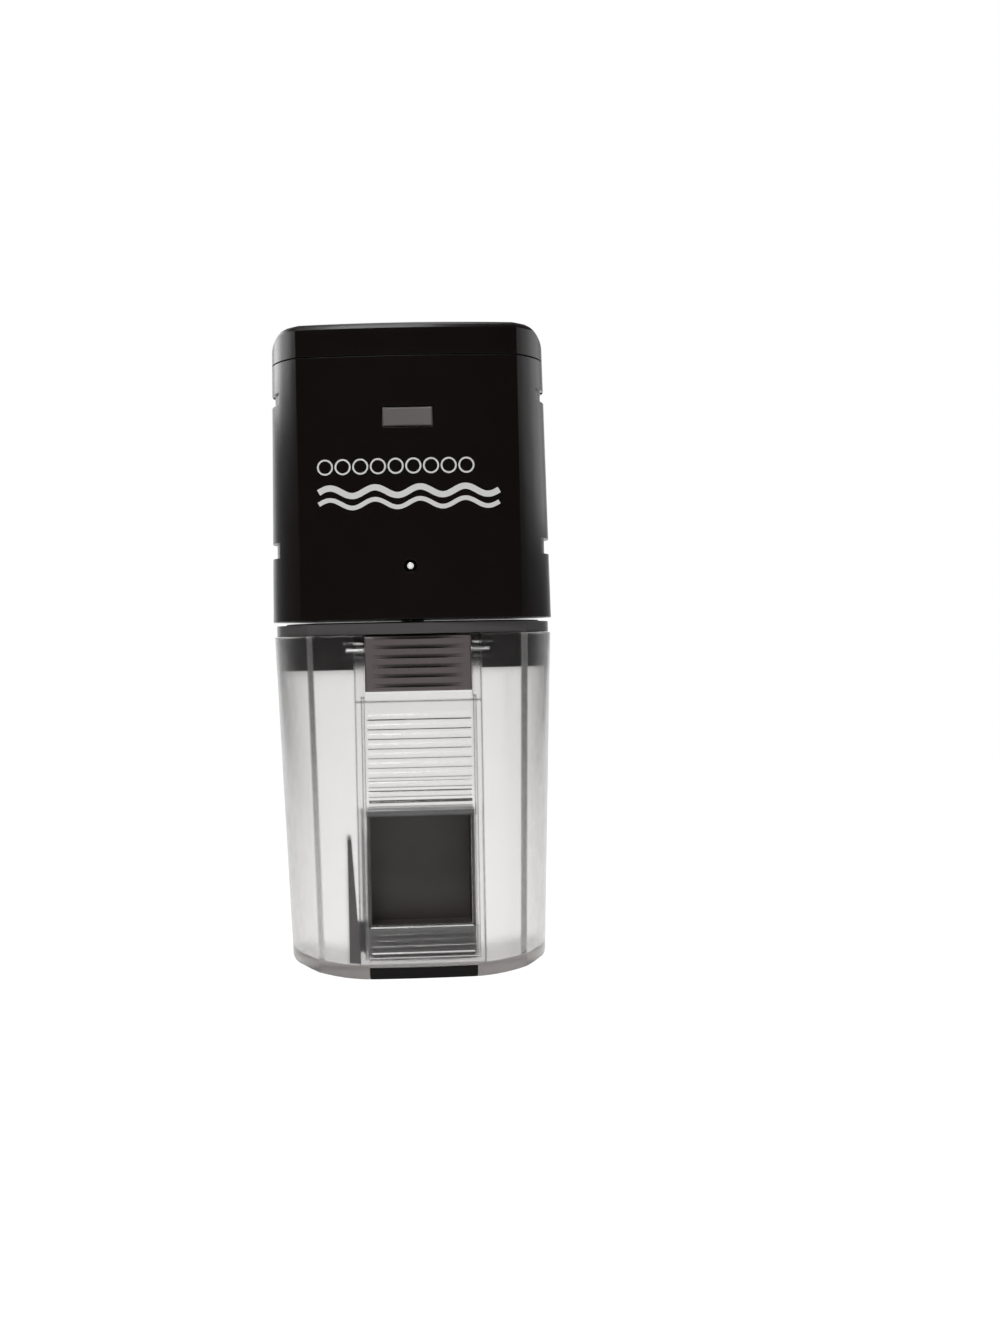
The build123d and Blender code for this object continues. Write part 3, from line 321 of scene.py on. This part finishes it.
def make_metals():
    """Turned, pressed and plated metals, by the record's slot names."""
    even = (1, 1, 1)
    return {
        "screw_steel": metal("screw_steel", (0.55, 0.55, 0.57)),
        "shaft_steel": metal("shaft_steel", (0.6, 0.6, 0.61), rough=(0.15, 0.28)),
        "motor_steel": metal("motor_steel", (0.52, 0.52, 0.53), rough=(0.25, 0.4), stretch=(1, 1, 8)),
        "module_tin": metal("module_tin", (0.66, 0.66, 0.65), rough=(0.25, 0.35), stretch=even),
        "nickel": metal("nickel", (0.66, 0.65, 0.62), rough=(0.12, 0.22), stretch=even),
        "brass": metal("brass", (0.72, 0.52, 0.22), rough=(0.2, 0.32)),
        "bronze": metal("bronze", (0.5, 0.33, 0.17), rough=(0.35, 0.5), stretch=even),
    }


def make_clears():
    """See-through plastics, by the record's slot names."""
    return {
        "frosted_clear": clear(
            "frosted_plastic", (0.985, 0.98, 0.977), rough=(0.18, 0.22), grain=900.0,
            height=0.005 * MM, haze=34.0, edge=3.0 * SOFT_EDGE,
        ),
        "collar_grey": clear("collar_plastic", (0.2, 0.188, 0.188), rough=(0.16, 0.24), share=0.5),
        "slide_clear": clear(
            "slide_plastic", (0.985, 0.982, 0.98), rough=(0.04, 0.07), height=0.004 * MM,
        ),
        "lens_clear": clear("lens_epoxy", (0.98, 0.98, 0.98), rough=(0.03, 0.06)),
    }


materials = {**make_plastics(), **make_metals(), **make_clears()}

# The foot shares the drum's slot in the record, but is a duller black
materials["foot"] = plastic("foot_black", (0.006, 0.005, 0.005), rough=(0.34, 0.42), gloss=0.12)
OWN_FINISH = {"base_foot": "foot"}

slot_of = {part["node"]: part["material_slot"] for part in frame["record"]["subparts"]}
for node_name, node in nodes.items():
    node.data.materials.clear()
    node.data.materials.append(materials[OWN_FINISH.get(node_name, slot_of[node_name])])

make_world()
make_floor()

# Lamps: place, the point it faces, width, height and watts. Those behind draw the side edges.
SHOULDER = (0, 0, 0.14)
LAMPS = {
    "edge_left": ((-0.24, 0.3, 0.24), SHOULDER, 0.12, 0.12, 0.12),
    "edge_right": ((0.24, 0.28, 0.19), SHOULDER, 0.14, 0.12, 0.036),
    "side_left": ((-0.42, 0.28, 0.26), SHOULDER, 0.16, 0.12, 0.1),
    "side_right": ((0.42, 0.26, 0.2), SHOULDER, 0.2, 0.12, 0.042),
    "overhead": ((0.0, -0.05, 0.75), (0, -0.02, 0.05), 0.4, 0.3, 1.5),
    "key": ((-0.08, -0.48, 0.66), (0, 0, 0.09), 0.3, 0.22, 2.6),
}
for lamp_name, settings in LAMPS.items():
    area_light(lamp_name, *settings)
bpy.context.scene.view_settings.view_transform = "Standard"

# ------------------------------------------------------------------ printed mark and lamp


def piece_from(name, verts, faces, material, body):
    """New piece of the object with its faces turned outwards, given a material and parented to its body."""
    mesh = bpy.data.meshes.new(name)
    mesh.from_pydata(verts, [], faces)
    mesh.validate()
    made = bmesh.new()
    made.from_mesh(mesh)
    bmesh.ops.recalc_face_normals(made, faces=made.faces)
    made.to_mesh(mesh)
    made.free()
    piece = bpy.data.objects.new(name, mesh)
    bpy.context.scene.collection.objects.link(piece)
    piece.data.materials.append(material)
    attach(piece, body)
    return piece


def ribbon(path, width):
    """Edges of a band along a path: pairs of points to its left and right."""
    pairs = []
    for index, (x, z) in enumerate(path):
        x0, z0 = path[max(index - 1, 0)]
        x1, z1 = path[min(index + 1, len(path) - 1)]
        run = math.hypot(x1 - x0, z1 - z0)
        nx, nz = -(z1 - z0) / run * width / 2, (x1 - x0) / run * width / 2
        pairs.append(((x + nx, z + nz), (x - nx, z - nz)))
    return pairs


# Printed mark, in millimetres about its middle
RING_COUNT, RING_PITCH, RING_R, RING_LINE = 9, 4.3, 1.75, 0.42
RING_FIRST_X, RING_Z, RING_STEPS = -20.3, 3.9, 28
BAND_HALF, BAND_Z, BAND_STEPS = 22.0, -2.2, 120
SWELL, SWELL_LENGTH = 1.0, 11.0
BANDS = ((0.0, 1.5), (-2.9, 1.1))  # height from the first band, and width
MARK_HEIGHT = 0.52  # of the housing's own height
INK = 0.02 * MM  # how far the print stands in and out of the surface


def ring_path(middle):
    """Closed circle about a point on the rings' line."""
    turns = [2 * math.pi * step / RING_STEPS for step in range(RING_STEPS + 1)]
    return [(middle + RING_R * math.cos(a), RING_Z + RING_R * math.sin(a)) for a in turns]


def band_path(row):
    """Wavy line as wide as the mark."""
    across = [-BAND_HALF + 2 * BAND_HALF * step / BAND_STEPS for step in range(BAND_STEPS + 1)]
    return [(x, BAND_Z + row + SWELL * math.sin(x * 2 * math.pi / SWELL_LENGTH)) for x in across]


def mark_strokes():
    """Strokes of the printed mark, each a path and its width: small rings over two bold waves."""
    rings = [(ring_path(RING_FIRST_X + ring * RING_PITCH), RING_LINE) for ring in range(RING_COUNT)]
    return rings + [(band_path(row), width) for row, width in BANDS]


def print_mark():
    """White print that follows the bowed front of the housing."""
    shell = nodes["housing_shell"]
    surface = BVHTree.FromObject(shell, bpy.context.evaluated_depsgraph_get())
    low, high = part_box("housing_shell")
    middle_x, middle_z = (low.x + high.x) / 2, low.z + (high.z - low.z) * MARK_HEIGHT
    verts, faces = [], []
    for path, width in mark_strokes():
        first = len(verts)
        for left, right in ribbon(path, width):
            for x, z in (left, right):
                at_x, at_z = middle_x + x * MM, middle_z + z * MM
                start = Vector((at_x, low.y - 50 * MM, at_z))
                hit = surface.ray_cast(start, Vector((0, 1, 0)))[0]
                verts.append((at_x, hit.y - INK, at_z))
                verts.append((at_x, hit.y + INK, at_z))
        count = (len(verts) - first) // 4
        for step in range(count - 1):
            a = first + 4 * step
            faces += [(a, a + 2, a + 6, a + 4), (a + 1, a + 5, a + 7, a + 3)]
            faces += [(a, a + 4, a + 5, a + 1), (a + 2, a + 3, a + 7, a + 6)]
        a = first + 4 * (count - 1)
        faces += [(first, first + 1, first + 3, first + 2), (a, a + 2, a + 3, a + 1)]
    ink = plastic("white_ink", (0.8, 0.8, 0.79), (0.45, 0.6), 3000.0, 0.004 * MM, 0.04)
    piece_from("front_print", verts, faces, ink, "housing")


print_mark()

# Profile of the lamp's die and cup, in millimetres: radius, and depth behind the lens's tip. The die's glow
# is a painted highlight.
DIE_PROFILE = ((0.01, 0.5), (0.3, 0.55), (0.5, 0.8), (0.6, 1.3), (0.4, 1.9), (0.01, 2.0))
DIE_STEPS = 24
# Emission strength of the die's painted highlight
DIE_PAINTED_HIGHLIGHT = 0.6


def lamp_die_painted_highlight():
    """Die and its cup inside the status lamp's lens, the die glowing as a painted highlight."""
    low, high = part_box("status_led")
    middle = (low + high) / 2
    verts, faces = [], []
    for radius, depth in DIE_PROFILE:
        for step in range(DIE_STEPS):
            turn = 2 * math.pi * step / DIE_STEPS
            r = radius * MM
            x, z = middle.x + r * math.cos(turn), middle.z + r * math.sin(turn)
            verts.append((x, low.y + depth * MM, z))
    last = (len(DIE_PROFILE) - 1) * DIE_STEPS
    for first in range(0, last, DIE_STEPS):
        for step in range(DIE_STEPS):
            following = (step + 1) % DIE_STEPS
            behind = first + DIE_STEPS
            faces.append((first + step, first + following, behind + following, behind + step))
    faces += [tuple(range(DIE_STEPS)), tuple(range(last, last + DIE_STEPS))]
    painted_highlight_finish = plastic("lamp_phosphor_painted_highlight", (0.85, 0.84, 0.8), (0.4, 0.6), 2500.0, 0.004 * MM, 0.05)
    shader = painted_highlight_finish.node_tree.nodes["Principled BSDF"]
    # Painted highlight: the die glows to stand in for the glint on the lens
    shader.inputs["Emission Color"].default_value = (1.0, 0.98, 0.94, 1.0)
    shader.inputs["Emission Strength"].default_value = DIE_PAINTED_HIGHLIGHT
    piece_from("lamp_die_painted_highlight", verts, faces, painted_highlight_finish, "housing")


lamp_die_painted_highlight()
